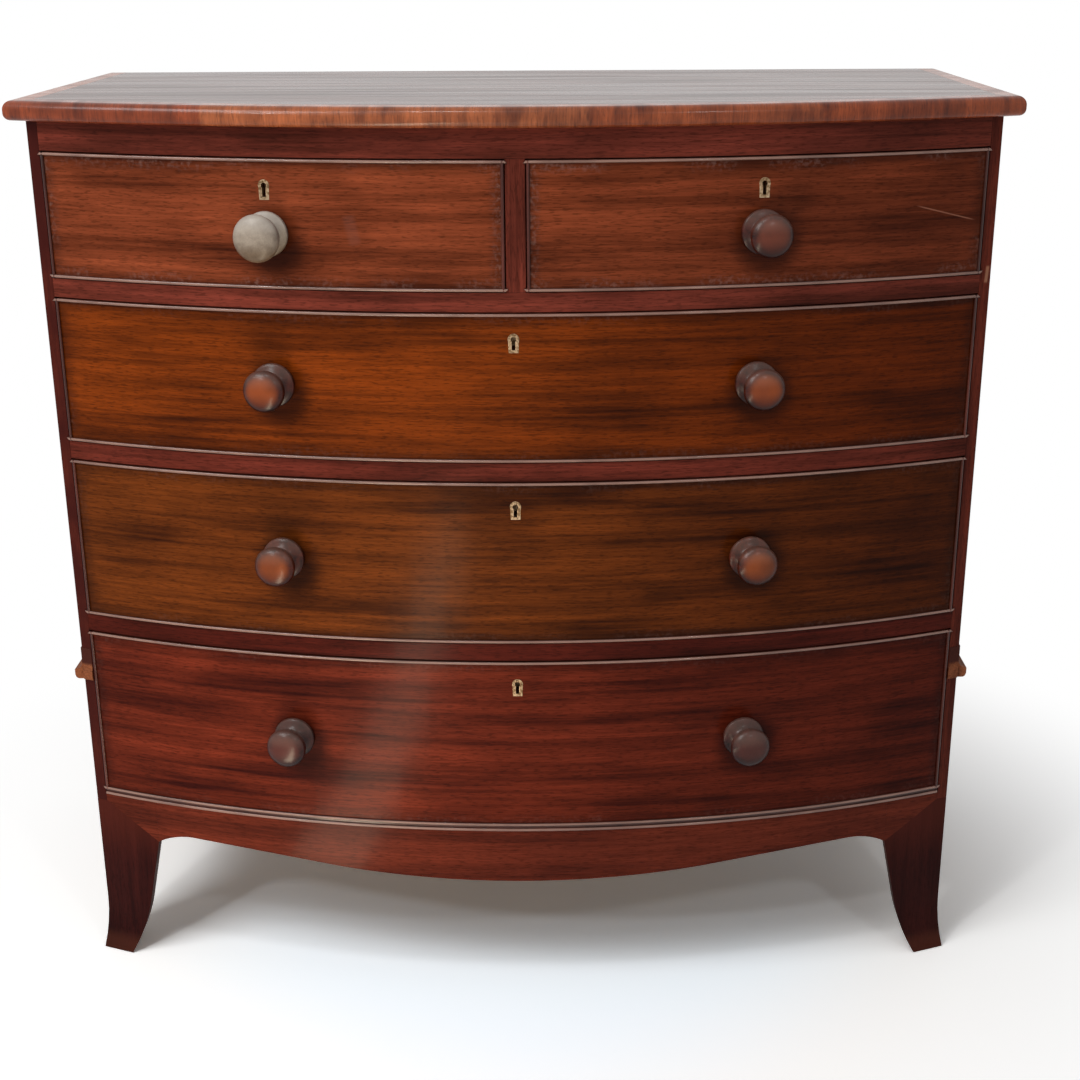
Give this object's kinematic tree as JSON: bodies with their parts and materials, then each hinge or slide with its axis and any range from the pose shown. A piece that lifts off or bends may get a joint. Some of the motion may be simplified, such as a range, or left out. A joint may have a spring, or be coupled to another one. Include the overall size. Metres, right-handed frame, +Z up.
{
  "type": "bow front chest of drawers",
  "caption": "Bow front chest of drawers in figured wood: short drawers side by side over long ones, turned knobs, beaded edges, shaped apron and splayed bracket feet.",
  "frame": {"origin": "centre of the overall footprint, on the floor", "axes": "+Z up; the bowed drawer fronts face -Y; +X to the right of someone facing the fronts"},
  "size_m": [1.09, 0.539, 1.049],
  "materials": {
    "mahogany_case": "red-brown mahogany, french polished",
    "mahogany_top": "red-brown mahogany, french polished to a gloss",
    "mahogany_crossband": "cross-grained mahogany, french polished",
    "mahogany_orange": "orange-brown figured mahogany veneer, french polished",
    "mahogany_red": "red figured mahogany veneer, french polished",
    "mahogany_dark": "dark mahogany, polished",
    "worn_wood": "greyish brown hardwood, thinly polished",
    "oak": "dry oak, unpolished",
    "pine": "aged pine, unpolished",
    "brass": "aged brass"
  },
  "bodies": {
    "case": {"top_board": "mahogany_top", "top_edge_moulding": "mahogany_crossband", "side_left": "mahogany_case", "side_right": "mahogany_case", "top_rail": "mahogany_case", "drawer_rails": "mahogany_case", "muntin": "mahogany_case", "drawer_partition": "oak", "drawer_runners": "oak", "drawer_stops": "oak", "bottom_board": "pine", "back_boards": "pine", "front_apron": "mahogany_case", "apron_bead": "mahogany_case", "front_foot_left": "mahogany_case", "front_foot_right": "mahogany_case", "base_side_left": "mahogany_case", "base_side_right": "mahogany_case", "foot_blocks": "pine", "side_mouldings": "mahogany_case"},
    "drawer_short_left": {"drawer_short_left_front": "mahogany_case", "drawer_short_left_cockbead": "mahogany_dark", "drawer_short_left_sides": "oak", "drawer_short_left_back": "oak", "drawer_short_left_bottom": "oak", "drawer_short_left_knob": "worn_wood", "drawer_short_left_lock": "brass"},
    "bolt_short_left": {"drawer_short_left_lock_bolt": "brass"},
    "drawer_short_right": {"drawer_short_right_front": "mahogany_case", "drawer_short_right_cockbead": "mahogany_dark", "drawer_short_right_sides": "oak", "drawer_short_right_back": "oak", "drawer_short_right_bottom": "oak", "drawer_short_right_knob": "mahogany_dark", "drawer_short_right_lock": "brass"},
    "bolt_short_right": {"drawer_short_right_lock_bolt": "brass"},
    "drawer_upper": {"drawer_upper_front": "mahogany_orange", "drawer_upper_cockbead": "mahogany_dark", "drawer_upper_sides": "oak", "drawer_upper_back": "oak", "drawer_upper_bottom": "oak", "drawer_upper_knobs": "mahogany_dark", "drawer_upper_lock": "brass"},
    "bolt_upper": {"drawer_upper_lock_bolt": "brass"},
    "drawer_middle": {"drawer_middle_front": "mahogany_orange", "drawer_middle_cockbead": "mahogany_dark", "drawer_middle_sides": "oak", "drawer_middle_back": "oak", "drawer_middle_bottom": "oak", "drawer_middle_knobs": "mahogany_dark", "drawer_middle_lock": "brass"},
    "bolt_middle": {"drawer_middle_lock_bolt": "brass"},
    "drawer_lower": {"drawer_lower_front": "mahogany_red", "drawer_lower_cockbead": "mahogany_dark", "drawer_lower_sides": "oak", "drawer_lower_back": "oak", "drawer_lower_bottom": "oak", "drawer_lower_knobs": "mahogany_dark", "drawer_lower_lock": "brass"},
    "bolt_lower": {"drawer_lower_lock_bolt": "brass"}
  },
  "joints": [
    {"name": "slide_short_left", "type": "slide", "parent": "case", "child": "drawer_short_left", "axis": [0, -1, 0], "range_m": [0, 0.31]},
    {"name": "slide_short_right", "type": "slide", "parent": "case", "child": "drawer_short_right", "axis": [0, -1, 0], "range_m": [0, 0.31]},
    {"name": "slide_upper", "type": "slide", "parent": "case", "child": "drawer_upper", "axis": [0, -1, 0], "range_m": [0, 0.31]},
    {"name": "slide_middle", "type": "slide", "parent": "case", "child": "drawer_middle", "axis": [0, -1, 0], "range_m": [0, 0.31]},
    {"name": "slide_lower", "type": "slide", "parent": "case", "child": "drawer_lower", "axis": [0, -1, 0], "range_m": [0, 0.31]},
    {"name": "lock_short_left", "type": "slide", "parent": "drawer_short_left", "child": "bolt_short_left", "axis": [0, 0, 1], "range_m": [0, 0.007]},
    {"name": "lock_short_right", "type": "slide", "parent": "drawer_short_right", "child": "bolt_short_right", "axis": [0, 0, 1], "range_m": [0, 0.007]},
    {"name": "lock_upper", "type": "slide", "parent": "drawer_upper", "child": "bolt_upper", "axis": [0, 0, 1], "range_m": [0, 0.007]},
    {"name": "lock_middle", "type": "slide", "parent": "drawer_middle", "child": "bolt_middle", "axis": [0, 0, 1], "range_m": [0, 0.007]},
    {"name": "lock_lower", "type": "slide", "parent": "drawer_lower", "child": "bolt_lower", "axis": [0, 0, 1], "range_m": [0, 0.007]}
  ]
}
